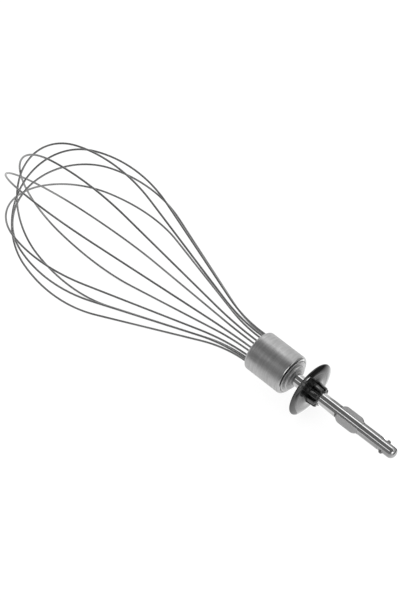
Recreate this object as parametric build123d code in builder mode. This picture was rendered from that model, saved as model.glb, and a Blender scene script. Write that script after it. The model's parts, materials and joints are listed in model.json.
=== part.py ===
"""Whisk attachment for an immersion blender: six wire loops in a steel ferrule on a quick-change shaft.

The pieces are drawn round the X axis, drive tip towards +X and wire cage towards -X, with the rim of
the splash disc at X = 0 and the floor below. They are then laid down as the whisk comes to rest: on
the rim of the disc and on the lowest wires of the cage.
"""
import os
from math import atan2, cos, degrees, radians, sin, tan

from build123d import *

# Wire cage, millimetres and degrees
wire_diameter = 1.3
wire_ring_radius = 10.0
cage_radius = 48.0
cage_length = 195.0
flare_angle = 20.5
neck_bend_radius = 92.0
shoulder_angle = 18.5
leg_depth = 13.0
leg_clearance = 0.05

# How each hand-bent loop is set: turn of its first leg from straight down, lean of its crown out of
# its plane, lean within its plane, and its size compared with the nominal cage
loop_settings = [
    (-136.0, 1.5, 0.5, 1.041),
    (-103.5, 4.0, -0.5, 1.010),
    (-80.0, -1.5, 2.0, 0.959),
    (-46.0, -3.5, 1.5, 0.977),
    (-18.5, -4.5, -2.0, 0.990),
    (13.0, -2.5, -4.5, 0.997),
]

# Ferrule and the hub inside it
ferrule_radius = 13.25
ferrule_length = 28.3
ferrule_wall = 1.2
ferrule_lip = 2.0
ferrule_round = 2.0
ferrule_gap = 13.45
neck_start_past_mouth = 1.5
hub_recess = 2.0
boss_radius = 8.4
boss_length = 3.4
boss_round = 0.6
shaft_seat_radius = 5.6
shaft_seat_length = 0.8
shaft_socket_depth = 20.0
press_clearance = 0.05

# Drive shaft
shaft_diameter = 8.32
spigot_diameter = 8.0
nose_diameter = 7.68
nose_start = 55.5
shaft_reach = 66.75
tip_round = 3.2
ear_start = 22.6
ear_length = 17.7
ear_width = 11.3
ear_thickness = 2.0
ear_corner = 4.6
ear_angle = -55.0

# Detent: two balls pushed apart by a spring in one cross hole
ball_diameter = 3.0
ball_protrusion = 1.15
ball_clearance = 0.1
ball_place = 58.55
ball_angle = -70.0
spring_wire = 0.35
spring_diameter = 2.25
spring_turns = 4
spring_clearance = 0.05

# Splash disc with its toothed collar
disc_radius = 18.2
disc_thickness = 1.0
disc_flat_radius = 12.5
disc_brim_angle = 26.0
disc_rim_round = 0.4
collar_radius = 6.6
collar_end_radius = 5.9
collar_core_radius = 5.0
collar_length = 7.9
collar_end_round = 1.2
tooth_count = 8
tooth_width = 2.8
disc_clearance = 0.05

shaft_radius = shaft_diameter / 2
spigot_radius = spigot_diameter / 2
nose_radius = nose_diameter / 2
ball_radius = ball_diameter / 2
wire_radius = wire_diameter / 2

# Places along the axis
ferrule_end = -ferrule_gap
ferrule_mouth = ferrule_end - ferrule_length
neck_start = ferrule_mouth - neck_start_past_mouth
hub_face = ferrule_mouth + hub_recess
hub_end = ferrule_end - ferrule_wall - press_clearance
boss_end = hub_end + boss_length
shaft_root = boss_end - shaft_socket_depth
ear_end = ear_start + ear_length


def radial(turn):
    """Unit vector square to the axis, turned from straight down."""
    return Vector(0, sin(radians(turn)), -cos(radians(turn)))


def loop_plane(turn, lean_out, lean_in):
    """Plane of a loop: X from the mouth of the ferrule to the crown, Y out to the first leg."""
    out = radial(turn)
    across = Axis.X.direction.cross(out)
    along = Vector(-1, 0, 0) * cos(radians(lean_out)) + across * sin(radians(lean_out))
    crown_direction = along * cos(radians(lean_in)) + out * sin(radians(lean_in))
    return Plane(origin=(neck_start, 0, 0), x_dir=crown_direction, z_dir=along.cross(out))


def loop_bends(share):
    """Radius of the belly, radius of the crown and length of the straight stretch between neck and belly."""
    flare = radians(flare_angle)
    shoulder = radians(shoulder_angle)
    length = cage_length * share
    widest = cage_radius * share
    crown_rise = (1 - sin(shoulder)) / cos(shoulder)
    neck_length = neck_bend_radius * sin(flare)
    rise = widest - wire_ring_radius - neck_bend_radius * (1 - cos(flare))
    belly_share = tan(flare / 2) + sin(shoulder) - crown_rise * (1 - cos(shoulder))
    belly = (length - neck_length - rise / tan(flare) - crown_rise * widest) / belly_share
    crown = (widest - belly * (1 - cos(shoulder))) / cos(shoulder)
    straight = (rise - belly * (1 - cos(flare))) / sin(flare)
    return belly, crown, straight


def tangent_arc(before, radius, turn):
    """Arc that goes on from the end of the line before it."""
    return JernArc(start=before @ 1, tangent=before % 1, radius=radius, arc_size=turn)


def straight_on(before, length):
    """Straight stretch that goes on from the end of the line before it."""
    return PolarLine(before @ 1, length, direction=before % 1)


# Wire loops: leg, neck, straight, belly, crown and back again, each tangent to the last
loops = []
loop_paths = []
for turn, lean_out, lean_in, share in loop_settings:
    belly_radius, crown_radius, straight_length = loop_bends(share)
    belly_turn = -(flare_angle + shoulder_angle)
    crown_turn = -2 * (90 - shoulder_angle)
    with BuildPart() as wire_loop:
        with BuildLine(loop_plane(turn, lean_out, lean_in)) as path:
            first_leg = Line((-leg_depth, wire_ring_radius), (0, wire_ring_radius))
            first_neck = tangent_arc(first_leg, neck_bend_radius, flare_angle)
            first_side = straight_on(first_neck, straight_length)
            first_belly = tangent_arc(first_side, belly_radius, belly_turn)
            crown = tangent_arc(first_belly, crown_radius, crown_turn)
            second_belly = tangent_arc(crown, belly_radius, belly_turn)
            second_side = straight_on(second_belly, straight_length)
            second_neck = tangent_arc(second_side, neck_bend_radius, flare_angle)
            straight_on(second_neck, leg_depth)
        with BuildSketch(Plane(origin=first_leg @ 0, z_dir=first_leg % 0)):
            Circle(wire_radius)
        sweep()
    wire_loop.part.label = "wire_loop_%d" % (len(loops) + 1)
    loops.append(wire_loop)
    loop_paths.append(path.line)

# Ferrule: a tube with both rims rolled in
with BuildPart() as ferrule:
    with BuildSketch(Plane.XY) as tube:
        inner_radius = ferrule_radius - ferrule_wall
        opening_radius = ferrule_radius - ferrule_lip
        with BuildLine():
            Polyline(
                (ferrule_mouth, opening_radius),
                (ferrule_mouth, ferrule_radius),
                (ferrule_end, ferrule_radius),
                (ferrule_end, opening_radius),
                (ferrule_end - ferrule_wall, opening_radius),
                (ferrule_end - ferrule_wall, inner_radius),
                (ferrule_mouth + ferrule_wall, inner_radius),
                (ferrule_mouth + ferrule_wall, opening_radius),
                close=True,
            )
        make_face()
        fillet(tube.vertices().group_by(Axis.Y)[-1], ferrule_round)
    revolve(axis=Axis.X)
ferrule.part.label = "ferrule"

# Hub: holds the twelve wire ends and the root of the shaft
hub_radius = ferrule_radius - ferrule_wall - press_clearance
with BuildPart() as wire_hub:
    with BuildSketch(Plane.YZ.offset(hub_face)):
        Circle(hub_radius)
    extrude(amount=hub_end - hub_face)
    with BuildSketch(Plane.YZ.offset(hub_end)):
        Circle(boss_radius)
    extrude(amount=boss_length)
    fillet(wire_hub.faces().sort_by(Axis.X)[-1].edges(), boss_round)
    with BuildSketch(Plane.YZ.offset(boss_end)):
        Circle(shaft_seat_radius)
    extrude(amount=shaft_seat_length)
    with BuildSketch(Plane.YZ.offset(shaft_root - press_clearance)):
        Circle(shaft_radius + press_clearance)
    extrude(amount=shaft_socket_depth + shaft_seat_length + 2 * press_clearance, mode=Mode.SUBTRACT)
    for turn, lean_out, lean_in, _ in loop_settings:
        bent = loop_plane(turn, lean_out, lean_in)
        deepest = bent.origin - bent.x_dir * (leg_depth + leg_clearance)
        leg_ends = Plane(origin=deepest, x_dir=bent.y_dir, z_dir=bent.x_dir)
        with BuildSketch(leg_ends):
            with Locations((wire_ring_radius, 0), (-wire_ring_radius, 0)):
                Circle(wire_radius + leg_clearance)
        extrude(amount=leg_depth, mode=Mode.SUBTRACT)
wire_hub.part.label = "wire_hub"

# Drive shaft: round bar with two coined ears, the spigot that fits the socket in front of them, and a
# slimmer nose with a bullet tip and the cross hole of the detent
with BuildPart() as drive_shaft:
    with BuildSketch(Plane.YZ.offset(shaft_root)):
        Circle(shaft_radius)
    extrude(amount=ear_end - shaft_root)
    with BuildSketch(Plane.YZ.offset(ear_end)):
        Circle(spigot_radius)
    extrude(amount=nose_start - ear_end)
    with BuildSketch(Plane.YZ.offset(nose_start)):
        Circle(nose_radius)
    extrude(amount=shaft_reach - nose_start)
    fillet(drive_shaft.faces().sort_by(Axis.X)[-1].edges(), tip_round)
    ear_middle = (ear_start + ear_length / 2, 0, 0)
    ear_plane = Plane(ear_middle, x_dir=(1, 0, 0), z_dir=Axis.X.direction.cross(radial(ear_angle)))
    with BuildSketch(ear_plane):
        RectangleRounded(ear_length, ear_width, ear_corner)
    extrude(amount=ear_thickness / 2, both=True)
    cross_hole = Plane(origin=(ball_place, 0, 0), x_dir=(1, 0, 0), z_dir=radial(ball_angle))
    with BuildSketch(cross_hole):
        Circle(ball_radius + ball_clearance)
    extrude(amount=shaft_diameter, both=True, mode=Mode.SUBTRACT)
drive_shaft.part.label = "drive_shaft"

# Detent balls, and the spring that pushes them apart
ball_offset = nose_radius + ball_protrusion - ball_radius
detent_balls = []
for side in (1, -1):
    with BuildPart() as detent_ball:
        with Locations(cross_hole.origin + cross_hole.z_dir * (side * ball_offset)):
            Sphere(ball_radius)
    detent_ball.part.label = "detent_ball_%d" % (len(detent_balls) + 1)
    detent_balls.append(detent_ball)

coil_radius = (spring_diameter - spring_wire) / 2
ball_to_coil = ball_radius + spring_wire / 2 + spring_clearance
coil_reach = ball_offset - (ball_to_coil**2 - coil_radius**2) ** 0.5
with BuildPart() as detent_spring:
    with BuildLine() as coil:
        Helix(
            pitch=2 * coil_reach / spring_turns,
            height=2 * coil_reach,
            radius=coil_radius,
            center=cross_hole.origin - cross_hole.z_dir * coil_reach,
            direction=cross_hole.z_dir,
        )
    with BuildSketch(Plane(origin=coil.line @ 0, z_dir=coil.line % 0)):
        Circle(spring_wire / 2)
    sweep()
detent_spring.part.label = "detent_spring"

# Splash disc: flat in the middle, with a brim that curves back, and a toothed collar on its drive side
brim_radius = (disc_radius - disc_flat_radius) / sin(radians(disc_brim_angle))
brim_drop = brim_radius * (1 - cos(radians(disc_brim_angle)))
disc_face = brim_drop + disc_thickness / 2
collar_start = brim_drop
collar_end = collar_start + collar_length
with BuildPart() as splash_disc:
    with BuildSketch(Plane.YZ.offset(collar_start)):
        Circle(collar_core_radius)
        with PolarLocations((collar_core_radius + collar_radius) / 2, tooth_count):
            Rectangle(2 * (collar_radius - collar_core_radius), tooth_width)
    extrude(amount=collar_length)
    with BuildSketch(Plane.XY) as collar_outline:
        with BuildLine():
            Polyline(
                (collar_start, 0),
                (collar_start, collar_radius),
                (collar_end, collar_end_radius),
                (collar_end, 0),
                close=True,
            )
        make_face()
        fillet(collar_outline.vertices().sort_by(Axis.X)[-2:].sort_by(Axis.Y)[-1], collar_end_round)
    revolve(axis=Axis.X, mode=Mode.INTERSECT)
    with BuildSketch(Plane.XY) as disc_outline:
        with BuildLine():
            front = Line((disc_face, 0), (disc_face, disc_flat_radius))
            front_brim = tangent_arc(front, brim_radius, disc_brim_angle)
            back = Line((disc_face - disc_thickness, 0), (disc_face - disc_thickness, disc_flat_radius))
            back_brim = tangent_arc(back, brim_radius, disc_brim_angle)
            Line(front @ 0, back @ 0)
            Line(front_brim @ 1, back_brim @ 1)
        make_face()
        fillet(disc_outline.vertices().group_by(Axis.Y)[-1], disc_rim_round)
    revolve(axis=Axis.X)
    with BuildSketch(Plane.YZ.offset(-disc_thickness)):
        Circle(shaft_radius + disc_clearance)
    extrude(amount=collar_end + 2 * disc_thickness, mode=Mode.SUBTRACT)
splash_disc.part.label = "splash_disc"

# Laid down: the axis tips up towards the crown until the lowest wire is level with the rim of the disc
samples_per_loop = 240
rest_tilt = max(
    degrees(atan2(wire_radius - point.Z - disc_radius, -point.X))
    for line in loop_paths
    for point in (line @ (step / samples_per_loop) for step in range(samples_per_loop + 1))
)
pieces = [*loops, ferrule, wire_hub, drive_shaft, *detent_balls, detent_spring, splash_disc]
tipped = Location((0, 0, 0), (0, rest_tilt, 0))
whole = Compound([piece.part.moved(tipped) for piece in pieces]).bounding_box()
laid = Location((-whole.center().X, -whole.center().Y, -whole.min.Z)) * tipped

os.makedirs("parts", exist_ok=True)
for piece in pieces:
    piece.part.move(laid)
    export_step(piece.part, "parts/%s.step" % piece.part.label)

laid_axis = laid * Plane.XY
laid_hole = laid_axis.from_local_coords(cross_hole.origin)
print("axis tipped up by %.3f degrees, towards the tip" % rest_tilt, laid_axis.x_dir)
print("middle of the disc", laid_axis.origin)
print("middle of the cross hole", laid_hole)
print("overall size", whole.size)
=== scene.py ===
"""Looks of the whisk attachment: wire cage, steel ferrule, splash disc and drive shaft."""
import json
from math import atan2, radians

import bmesh
import bpy
from mathutils import Matrix, Vector


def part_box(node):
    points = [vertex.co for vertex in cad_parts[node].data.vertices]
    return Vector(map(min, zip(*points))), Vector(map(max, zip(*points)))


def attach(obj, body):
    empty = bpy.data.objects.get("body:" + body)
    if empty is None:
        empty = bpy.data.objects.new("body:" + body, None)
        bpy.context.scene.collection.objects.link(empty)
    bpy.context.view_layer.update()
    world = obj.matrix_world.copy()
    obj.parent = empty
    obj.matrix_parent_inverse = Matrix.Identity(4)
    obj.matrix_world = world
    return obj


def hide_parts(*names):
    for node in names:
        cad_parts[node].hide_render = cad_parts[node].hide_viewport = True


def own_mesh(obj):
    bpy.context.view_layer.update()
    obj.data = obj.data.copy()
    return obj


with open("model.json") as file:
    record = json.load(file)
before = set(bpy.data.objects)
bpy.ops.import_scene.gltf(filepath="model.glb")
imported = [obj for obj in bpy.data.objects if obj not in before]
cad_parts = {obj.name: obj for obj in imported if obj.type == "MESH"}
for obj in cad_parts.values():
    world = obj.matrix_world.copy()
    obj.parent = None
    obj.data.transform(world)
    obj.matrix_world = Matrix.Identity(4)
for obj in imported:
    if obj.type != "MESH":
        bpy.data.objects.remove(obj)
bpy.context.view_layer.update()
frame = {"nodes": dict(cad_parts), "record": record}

# Axis of the shaft, from the mount on its drive end
mount_from_disc = 0.048
drive_end = next(m for m in frame["record"]["mounts"] if m["name"] == "drive_shaft_end")
axis_point = Vector(drive_end["pos_m"])
axis_line = Vector(drive_end["axis"]).normalized()
axis_tilt = atan2(-axis_line.z, axis_line.x)
disc_middle = axis_point - axis_line * mount_from_disc
on_axis = Matrix.Translation(disc_middle) @ Matrix.Rotation(axis_tilt, 4, "Y")

# Tone of each finish from dark to light, and its roughness from glossy to dull
wire_tone, wire_roughness = (0.235, 0.33), (0.26, 0.4)
ferrule_tone, ferrule_roughness = (0.375, 0.515), (0.39, 0.5)
hub_tone, hub_roughness = (0.6, 0.68), (0.42, 0.55)
bar_tone, bar_roughness = (0.47, 0.54), (0.09, 0.13)
# The ears' paler tone is painted sheen, standing in for the light their flats reflect
ear_painted_sheen_tone, ear_roughness = (0.58, 0.63), (0.26, 0.32)
moulding_tone, moulding_roughness = (0.006, 0.012), (0.08, 0.13)
ball_tone, ball_roughness = (0.22, 0.28), (0.08, 0.18)
moulding_ior = 1.75

# Relief of the finishes, and where the polished rims of the ferrule meet its brushed wall
brushing_depth = 0.00002
turning_depth = 0.00001
ripple_depth = 0.00002
rim_to_wall = (0.01295, 0.0132)
rim_share_of_roughness = 0.3
pattern_low, pattern_high = 0.3, 0.7


# Materials
def new_finish(name):
    """An empty finish with its shader, its nodes and its links."""
    finish = bpy.data.materials.new(name)
    finish.use_nodes = True
    nodes = finish.node_tree.nodes
    return finish, nodes, finish.node_tree.links, nodes["Principled BSDF"]


def new_steel(name):
    """An empty finish of bare metal."""
    finish, nodes, links, shader = new_finish(name)
    shader.inputs["Metallic"].default_value = 1.0
    return finish, nodes, links, shader


def along_axis(nodes, links, stretch):
    """Coordinates with X along the shaft, zero on its axis, plain and stretched for a grain."""
    place = nodes.new("ShaderNodeTexCoord")
    lay = nodes.new("ShaderNodeMapping")
    lay.vector_type = "TEXTURE"
    lay.inputs["Location"].default_value = axis_point
    lay.inputs["Rotation"].default_value = (0, axis_tilt, 0)
    links.new(place.outputs["Object"], lay.inputs["Vector"])
    grain = nodes.new("ShaderNodeMapping")
    grain.inputs["Scale"].default_value = stretch
    links.new(lay.outputs["Vector"], grain.inputs["Vector"])
    return lay.outputs["Vector"], grain.outputs["Vector"]


def off_axis(nodes, links):
    """Distance from the shaft's axis."""
    across = along_axis(nodes, links, stretch=(0.0, 1.0, 1.0))[1]
    radius = nodes.new("ShaderNodeVectorMath")
    radius.operation = "LENGTH"
    links.new(across, radius.inputs[0])
    return radius.outputs["Value"]


def noise(nodes, links, vector, scale, detail=4.0, roughness=0.55):
    """Cloudy pattern over a set of coordinates."""
    cloud = nodes.new("ShaderNodeTexNoise")
    cloud.inputs["Scale"].default_value = scale
    cloud.inputs["Detail"].default_value = detail
    cloud.inputs["Roughness"].default_value = roughness
    links.new(vector, cloud.inputs["Vector"])
    return cloud.outputs["Fac"]


def spread(nodes, links, value, low, high, start=pattern_low, end=pattern_high):
    """A pattern's values spread between two levels."""
    level = nodes.new("ShaderNodeMapRange")
    level.inputs["From Min"].default_value = start
    level.inputs["From Max"].default_value = end
    level.inputs["To Min"].default_value = low
    level.inputs["To Max"].default_value = high
    links.new(value, level.inputs["Value"])
    return level.outputs["Result"]


def set_tone(nodes, links, shader, pattern, tone):
    """A pattern as a blend of two greys, as the finish's colour."""
    ramp = nodes.new("ShaderNodeValToRGB")
    for stop, position, grey in zip(ramp.color_ramp.elements, (pattern_low, pattern_high), tone):
        stop.position = position
        stop.color = (grey, grey, grey, 1)
    links.new(pattern, ramp.inputs["Fac"])
    links.new(ramp.outputs["Color"], shader.inputs["Base Color"])


def set_roughness(nodes, links, shader, pattern, roughness):
    """A pattern as the finish's roughness."""
    links.new(spread(nodes, links, pattern, *roughness), shader.inputs["Roughness"])


def set_relief(nodes, links, shader, pattern, depth):
    """Fine relief from a pattern, its depth in metres."""
    bump = nodes.new("ShaderNodeBump")
    bump.inputs["Distance"].default_value = depth
    bump.inputs["Strength"].default_value = 1.0
    links.new(pattern, bump.inputs["Height"])
    links.new(bump.outputs["Normal"], shader.inputs["Normal"])


def satin_wire():
    """Drawn stainless wire, satin, a little uneven in tone."""
    finish, nodes, links, shader = new_steel("satin_drawn_wire")
    place = nodes.new("ShaderNodeTexCoord").outputs["Object"]
    patches = noise(nodes, links, place, scale=60.0)
    grain = noise(nodes, links, place, scale=900.0, detail=2.0)
    set_tone(nodes, links, shader, patches, wire_tone)
    set_roughness(nodes, links, shader, grain, wire_roughness)
    return finish


def round_brushed():
    """Ferrule steel, brushed round the axis on its wall and polished on its rolled rims."""
    finish, nodes, links, shader = new_steel("round_brushed_steel")
    lay, grain = along_axis(nodes, links, stretch=(900.0, 90.0, 90.0))
    lines = noise(nodes, links, grain, scale=1.0, detail=3.0, roughness=0.7)
    bands = noise(nodes, links, lay, scale=130.0)
    set_tone(nodes, links, shader, lines, ferrule_tone)
    radius = off_axis(nodes, links)
    on_wall = spread(nodes, links, radius, rim_share_of_roughness, 1.0, *rim_to_wall)
    dullness = nodes.new("ShaderNodeMath")
    dullness.operation = "MULTIPLY"
    links.new(spread(nodes, links, bands, *ferrule_roughness), dullness.inputs[0])
    links.new(on_wall, dullness.inputs[1])
    links.new(dullness.outputs["Value"], shader.inputs["Roughness"])
    set_relief(nodes, links, shader, lines, brushing_depth)
    return finish


def turned_face():
    """Hub steel with the fine rings that turning leaves."""
    finish, nodes, links, shader = new_steel("turned_hub_steel")
    place = nodes.new("ShaderNodeTexCoord").outputs["Object"]
    rings = nodes.new("ShaderNodeTexNoise")
    rings.noise_dimensions = "1D"
    rings.inputs["Scale"].default_value = 3000.0
    links.new(off_axis(nodes, links), rings.inputs["W"])
    patches = noise(nodes, links, place, scale=200.0)
    set_tone(nodes, links, shader, patches, hub_tone)
    set_roughness(nodes, links, shader, rings.outputs["Fac"], hub_roughness)
    set_relief(nodes, links, shader, rings.outputs["Fac"], turning_depth)
    return finish


def polished_bar():
    """Polished shaft steel with faint marks round it."""
    finish, nodes, links, shader = new_steel("polished_shaft_steel")
    lay, grain = along_axis(nodes, links, stretch=(900.0, 200.0, 200.0))
    lines = noise(nodes, links, grain, scale=1.0, detail=2.0)
    patches = noise(nodes, links, lay, scale=150.0)
    set_tone(nodes, links, shader, patches, bar_tone)
    set_roughness(nodes, links, shader, lines, bar_roughness)
    return finish


def pressed_steel_painted_sheen():
    """The ears' flats, duller where the dies pressed them, and paler than the bar as painted
    sheen.
    """
    finish, nodes, links, shader = new_steel("pressed_ear_steel_painted_sheen")
    place = nodes.new("ShaderNodeTexCoord").outputs["Object"]
    patches = noise(nodes, links, place, scale=90.0)
    set_tone(nodes, links, shader, patches, ear_painted_sheen_tone)
    set_roughness(nodes, links, shader, patches, ear_roughness)
    return finish


def gloss_black():
    """Glossy black moulding with a faint ripple."""
    finish, nodes, links, shader = new_finish("gloss_black_moulding")
    place = nodes.new("ShaderNodeTexCoord").outputs["Object"]
    ripple = noise(nodes, links, place, scale=350.0, detail=2.0)
    dulling = noise(nodes, links, place, scale=120.0)
    shader.inputs["IOR"].default_value = moulding_ior
    set_tone(nodes, links, shader, dulling, moulding_tone)
    set_roughness(nodes, links, shader, dulling, moulding_roughness)
    set_relief(nodes, links, shader, ripple, ripple_depth)
    return finish


def polished_ball():
    """Hardened ball, mirror polished, with a little wear."""
    finish, nodes, links, shader = new_steel("polished_ball_steel")
    place = nodes.new("ShaderNodeTexCoord").outputs["Object"]
    wear = noise(nodes, links, place, scale=900.0)
    set_tone(nodes, links, shader, wear, ball_tone)
    set_roughness(nodes, links, shader, wear, ball_roughness)
    return finish


wire_finish = satin_wire()
finishes = {
    "ferrule": round_brushed(),
    "wire_hub": turned_face(),
    "drive_shaft": polished_bar(),
    "splash_disc": gloss_black(),
    "detent_spring": wire_finish,
}
ball_finish = polished_ball()
for name, node in frame["nodes"].items():
    if name.startswith("wire_loop"):
        node.material_slots[0].material = wire_finish
    elif name.startswith("detent_ball"):
        node.material_slots[0].material = ball_finish
    else:
        node.material_slots[0].material = finishes[name]

# Pieces from meshes
joined_within = 1e-7
sharp_turn = radians(28)


def new_piece(name, shape, *materials):
    """An object from its shape, with its materials."""
    mesh = bpy.data.meshes.new(name)
    shape.to_mesh(mesh)
    shape.free()
    for finish in materials:
        mesh.materials.append(finish)
    piece = bpy.data.objects.new(name, mesh)
    bpy.context.scene.collection.objects.link(piece)
    return piece


def merged_copy(node):
    """A copy of a solid's mesh with its loose triangles joined."""
    shape = bmesh.new()
    shape.from_mesh(frame["nodes"][node].data)
    bmesh.ops.remove_doubles(shape, verts=shape.verts, dist=joined_within)
    return shape


def smooth(shape):
    """Smooth shading on every face."""
    for face in shape.faces:
        face.smooth = True


def crisp(mesh):
    """Smooth faces with sharp edges where the form turns."""
    shape = bmesh.new()
    shape.from_mesh(mesh)
    smooth(shape)
    for edge in shape.edges:
        edge.smooth = not edge.is_manifold or edge.calc_face_angle() < sharp_turn
    shape.to_mesh(mesh)
    shape.free()


def middle_between(low, high):
    """The point halfway between two others."""
    return (Vector(low) + Vector(high)) / 2


# Drive shaft, its ears pressed into the round of the bar so that a ridge stays between their flats
ear_span = (0.02255, 0.04035)
ear_turn = radians(-145)
ear_reach = 0.0058
ear_corner = 0.0037
ridge_edges = (0.0027, 0.0017)
flat_height = 0.00098
die_depth = 0.004


def pressing_dies():
    """Four dies for the ears, one on each side of the ridge, on both faces."""
    shape = bmesh.new()
    for side in (1, -1):
        for face_side in (1, -1):
            ridge = ridge_edges[0] if side == face_side else ridge_edges[1]
            low, high, foot = side * ridge, side * ear_reach, face_side * flat_height
            inner = [shape.verts.new((along, low, foot)) for along in ear_span]
            outer = [shape.verts.new((along, high, foot)) for along in reversed(ear_span)]
            shape.faces.new([*inner, *outer])
            rounded = bmesh.ops.bevel(
                shape,
                geom=outer,
                offset=ear_corner,
                affect="VERTICES",
                segments=10,
                profile=0.5,
                material=-1,
            )
            outline = rounded["verts"][0].link_faces[0]
            risen = bmesh.ops.extrude_face_region(shape, geom=[outline])
            moved = [vert for vert in risen["geom"] if isinstance(vert, bmesh.types.BMVert)]
            bmesh.ops.translate(shape, verts=moved, vec=(0, 0, face_side * die_depth))
    bmesh.ops.recalc_face_normals(shape, faces=shape.faces)
    across_ears = on_axis @ Matrix.Rotation(ear_turn, 4, "X")
    bmesh.ops.transform(shape, verts=shape.verts, matrix=across_ears)
    return shape


shaft = new_piece("pressed_shaft", merged_copy("drive_shaft"), finishes["drive_shaft"])
# The dies hand their finish to the ears' flats, whose paler tone is painted sheen
dies = new_piece("dies", pressing_dies(), pressed_steel_painted_sheen())
press = shaft.modifiers.new("press", "BOOLEAN")
press.operation = "DIFFERENCE"
press.solver = "EXACT"
press.material_mode = "TRANSFER"
press.object = dies
pressed = shaft.evaluated_get(bpy.context.evaluated_depsgraph_get())
shaft.data = bpy.data.meshes.new_from_object(pressed)
shaft.modifiers.clear()
bpy.data.objects.remove(dies)
crisp(shaft.data)
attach(shaft, "whisk")
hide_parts("drive_shaft")

# Stepped ring between the hub's boss and the ferrule's lip, and sloping foot of the collar
ring_steps = 96
hub_ring_outline = [
    (-0.0147, 0.0083),
    (-0.0147, 0.0109),
    (-0.0130, 0.0109),
    (-0.0125, 0.0083),
]
hub_ring_rounding = 0.0003
foot_outline = [
    (0.0014, 0.0052),
    (0.0014, 0.0128),
    (0.00182, 0.0124),
    (0.00188, 0.011),
    (0.00206, 0.0095),
    (0.0024, 0.008),
    (0.0029, 0.0064),
    (0.0029, 0.0052),
]
foot_rounding = 0.0001


def turned_ring(name, outline, rounding, finish):
    """A ring turned about the shaft's axis, its outline given along the axis and out from it."""
    shape = bmesh.new()
    corners = [shape.verts.new((along, radius, 0)) for along, radius in outline]
    shape.faces.new(corners)
    bmesh.ops.bevel(
        shape,
        geom=corners,
        offset=rounding,
        affect="VERTICES",
        segments=3,
        profile=0.5,
        material=-1,
    )
    bmesh.ops.delete(shape, geom=shape.faces[:], context="FACES_ONLY")
    bmesh.ops.spin(
        shape,
        geom=[*shape.verts, *shape.edges],
        cent=(0, 0, 0),
        axis=(1, 0, 0),
        angle=radians(360),
        steps=ring_steps,
        use_merge=True,
    )
    bmesh.ops.remove_doubles(shape, verts=shape.verts, dist=joined_within)
    bmesh.ops.recalc_face_normals(shape, faces=shape.faces)
    smooth(shape)
    bmesh.ops.transform(shape, verts=shape.verts, matrix=on_axis)
    ring = new_piece(name, shape, finish)
    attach(ring, "whisk")
    return ring


hub_ring = turned_ring("hub_ring", hub_ring_outline, hub_ring_rounding, finishes["wire_hub"])
collar_foot = turned_ring("collar_foot", foot_outline, foot_rounding, finishes["splash_disc"])

# Crests of the collar's teeth, which rise toward the disc
tooth_count = 8
crest_span = (0.0014, 0.009)
crest_width = 0.003
crest_root = 0.0053
crest_by_disc = 0.0074
crest_by_end = 0.0067
crest_rounding = 0.0005


def tooth_crests():
    """A rounded block on each tooth of the collar, highest by the disc."""
    shape = bmesh.new()
    for number in range(tooth_count):
        block = bmesh.ops.create_cube(shape, size=1.0)["verts"]
        for vert in block:
            by_disc, outside = vert.co.x < 0, vert.co.z > 0
            top = crest_by_disc if by_disc else crest_by_end
            along = crest_span[0] if by_disc else crest_span[1]
            vert.co = (along, vert.co.y * crest_width, top if outside else crest_root)
        crest = bmesh.ops.bevel(
            shape,
            geom=list(dict.fromkeys(edge for vert in block for edge in vert.link_edges)),
            offset=crest_rounding,
            affect="EDGES",
            segments=3,
            profile=0.5,
            material=-1,
        )
        turned = Matrix.Rotation(radians(360 / tooth_count) * number, 4, "X")
        bmesh.ops.transform(shape, verts=crest["verts"], matrix=on_axis @ turned)
    bmesh.ops.recalc_face_normals(shape, faces=shape.faces)
    return shape


crests = new_piece("collar_tooth_crests", tooth_crests(), finishes["splash_disc"])
crisp(crests.data)
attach(crests, "whisk")


def half_spring(name, side):
    """The half of the spring on one side of the shaft's axis."""
    shape = merged_copy("detent_spring")
    cut = bmesh.ops.bisect_plane(
        shape,
        geom=[*shape.verts, *shape.edges, *shape.faces],
        plane_co=spring_middle,
        plane_no=side,
        clear_inner=True,
    )
    rim = [edge for edge in cut["geom_cut"] if isinstance(edge, bmesh.types.BMEdge)]
    bmesh.ops.holes_fill(shape, edges=rim)
    bmesh.ops.recalc_face_normals(shape, faces=shape.faces)
    smooth(shape)
    half = new_piece(name, shape, wire_finish)
    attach(half, "whisk")
    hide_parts("detent_spring")
    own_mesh(half)


def middle_of(node):
    """The middle of a solid's box."""
    low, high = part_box(node)
    return middle_between(low, high)


ball_1_middle, ball_2_middle = middle_of("detent_ball_1"), middle_of("detent_ball_2")
spring_middle = middle_between(ball_1_middle, ball_2_middle)
hole_line = (ball_1_middle - ball_2_middle).normalized()
half_spring("spring_half_1", hole_line)
half_spring("spring_half_2", -hole_line)

# White table and white room
table_width = 6
table_paint, table_glow, table_shade = 0.9, 0.86, 0.24
room_strength = 0.8


def flat_card(name, width, depth, place):
    """A flat rectangle on the stage, with its place in its mesh."""
    shape = bmesh.new()
    bmesh.ops.create_grid(shape, x_segments=1, y_segments=1, size=0.5)
    bmesh.ops.scale(shape, verts=shape.verts, vec=(width, depth, 1))
    bmesh.ops.transform(shape, verts=shape.verts, matrix=place)
    card = new_piece(name, shape)
    return card


def seen_white(nodes, links):
    """One for what the camera, gloss and glass see, and zero for the light on things."""
    path = nodes.new("ShaderNodeLightPath")
    either = nodes.new("ShaderNodeMath")
    either.operation = "MAXIMUM"
    links.new(path.outputs["Is Camera Ray"], either.inputs[0])
    links.new(path.outputs["Is Glossy Ray"], either.inputs[1])
    any_of = nodes.new("ShaderNodeMath")
    any_of.operation = "MAXIMUM"
    links.new(either.outputs["Value"], any_of.inputs[0])
    links.new(path.outputs["Is Transmission Ray"], any_of.inputs[1])
    return any_of.outputs["Value"]


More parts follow.
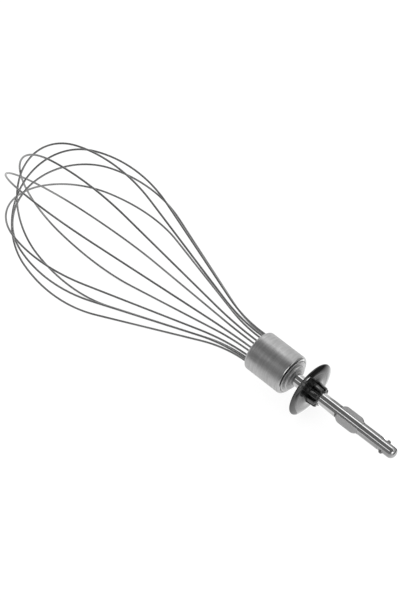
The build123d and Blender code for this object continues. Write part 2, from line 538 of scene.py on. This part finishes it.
def part_light_from_sight(nodes, links, lit, seen, surface):
    """One shader for the light that falls on things, and another for what is seen."""
    mix = nodes.new("ShaderNodeMixShader")
    links.new(seen_white(nodes, links), mix.inputs["Fac"])
    links.new(lit, mix.inputs[1])
    links.new(seen, mix.inputs[2])
    links.new(mix.outputs["Shader"], surface)


def painted(nodes, grey):
    """Plain matt paint."""
    paint = nodes.new("ShaderNodeBsdfDiffuse")
    paint.inputs["Color"].default_value = (grey, grey, grey, 1)
    return paint.outputs["BSDF"]


def white_table():
    """White to light, and seen as white with the part's faint shadow."""
    finish = bpy.data.materials.new("white_table")
    finish.use_nodes = True
    nodes, links = finish.node_tree.nodes, finish.node_tree.links
    nodes.remove(nodes["Principled BSDF"])
    glow = nodes.new("ShaderNodeEmission")
    glow.inputs["Strength"].default_value = table_glow
    seen = nodes.new("ShaderNodeAddShader")
    links.new(painted(nodes, table_shade), seen.inputs[0])
    links.new(glow.outputs["Emission"], seen.inputs[1])
    surface = nodes["Material Output"].inputs["Surface"]
    lit = painted(nodes, table_paint)
    part_light_from_sight(nodes, links, lit, seen.outputs["Shader"], surface)
    return finish


def white_room():
    """A room that lights the part evenly and is seen as white."""
    room = bpy.data.worlds.new("white_room")
    room.use_nodes = True
    nodes, links = room.node_tree.nodes, room.node_tree.links
    lit, seen = nodes["Background"], nodes.new("ShaderNodeBackground")
    for background, strength in ((lit, room_strength), (seen, 1.0)):
        background.inputs["Color"].default_value = (1, 1, 1, 1)
        background.inputs["Strength"].default_value = strength
    surface = nodes["World Output"].inputs["Surface"]
    part_light_from_sight(
        nodes, links, lit.outputs["Background"], seen.outputs["Background"], surface
    )
    return room


floor = flat_card("floor", table_width, table_width, Matrix.Identity(4))
floor.data.materials.append(white_table())
bpy.context.scene.world = white_room()

# Cards that only the gloss sees, grey overhead and in front, light and dark round the drive end
lying = Matrix.Identity(4)
upright = Matrix.Rotation(radians(90), 4, "X")
endways = Matrix.Rotation(radians(90), 4, "Y")


def gloss_card(name, width, depth, middle, level, turn=lying):
    """A card that shows in reflections alone, at one grey level."""
    finish = bpy.data.materials.new(name)
    finish.use_nodes = True
    nodes = finish.node_tree.nodes
    nodes.remove(nodes["Principled BSDF"])
    glow = nodes.new("ShaderNodeEmission")
    glow.inputs["Color"].default_value = (level, level, level, 1)
    surface = nodes["Material Output"].inputs["Surface"]
    finish.node_tree.links.new(glow.outputs["Emission"], surface)
    card = flat_card(name, width, depth, Matrix.Translation(middle) @ turn)
    card.visible_camera = False
    card.visible_diffuse = False
    card.visible_transmission = False
    card.visible_shadow = False
    card.data.materials.append(finish)
    return finish


def fading_card(name, low, high, lightest, darkest, start, end):
    """A card on the table that fades along the shaft from its lightest level to its darkest."""
    width, depth = high[0] - low[0], high[1] - low[1]
    finish = gloss_card(name, width, depth, middle_between(low, high), level=1.0)
    nodes, links = finish.node_tree.nodes, finish.node_tree.links
    along = nodes.new("ShaderNodeSeparateXYZ")
    links.new(nodes.new("ShaderNodeTexCoord").outputs["Object"], along.inputs["Vector"])
    fade = spread(nodes, links, along.outputs["X"], lightest, darkest, start, end)
    links.new(fade, nodes["Emission"].inputs["Strength"])


gloss_card("card_overhead", 8, 3.6, middle=(0, -1.2, 1.6), level=0.21)
gloss_card("card_in_front", 8, 1.6, middle=(0, -3, 0.8), level=0.26, turn=upright)
gloss_card("card_on_table_in_front", 8, 2.85, middle=(0, -1.555, 0.0004), level=0.26)
gloss_card("card_past_tip", 0.8, 1.0, middle=(1.5, -0.5, 0.62), level=2.2, turn=endways)
gloss_card("card_glint", 0.014, 0.014, middle=(0.143, 0.019, 0.001), level=7.0)
gloss_card("card_under_tip", 0.028, 0.036, middle=(0.166, 0.012, 0.0008), level=0.85)
gloss_card("card_under_shaft", 0.045, 0.0125, middle=(0.1395, 0.00025, 0.0007), level=0.75)
gloss_card("card_behind_tip", 0.3, 0.066, middle=(0.235, 0.06, 0.037), level=0.42, turn=upright)
fading_card(
    "card_on_table_past_disc",
    low=(0.087, -0.006, 0.0005),
    high=(2.487, 2.994, 0.0005),
    lightest=1.8,
    darkest=0.04,
    start=0.092,
    end=0.116,
)
fading_card(
    "card_on_table_by_tip",
    low=(0.1, -0.13, 0.0005),
    high=(2.5, -0.006, 0.0005),
    lightest=0.95,
    darkest=0.62,
    start=0.105,
    end=0.13,
)


# Lamps
def softbox(name, place, width, height, power):
    """A rectangular lamp that hangs along the shaft and faces it."""
    lamp = bpy.data.lights.new(name, "AREA")
    lamp.shape = "RECTANGLE"
    lamp.size = width
    lamp.size_y = height
    lamp.energy = power
    box = bpy.data.objects.new(name, lamp)
    box.location = place
    box.rotation_euler = (atan2(-place[1], place[2]), 0, 0)
    box.visible_camera = False
    bpy.context.scene.collection.objects.link(box)


softbox("softbox_behind", place=(-0.5, 0.67, 1.15), width=1.2, height=0.22, power=1.45)
softbox("softbox_front", place=(-0.25, -0.84, 0.95), width=0.64, height=0.22, power=0.62)

# Camera, where the photograph was taken from
camera_place = (0.65944, -0.70176, 0.96205)
camera_aim = Vector((-0.49191, 0.52572, -0.69401))
view = bpy.data.cameras.new("camera")
view.lens = 131.78
view.sensor_width = 36.0
view.sensor_fit = "AUTO"
camera = bpy.data.objects.new("camera", view)
camera.location = camera_place
camera.rotation_euler = camera_aim.to_track_quat("-Z", "Y").to_euler()
bpy.context.scene.collection.objects.link(camera)
bpy.context.scene.camera = camera
bpy.context.scene.view_settings.view_transform = "Standard"
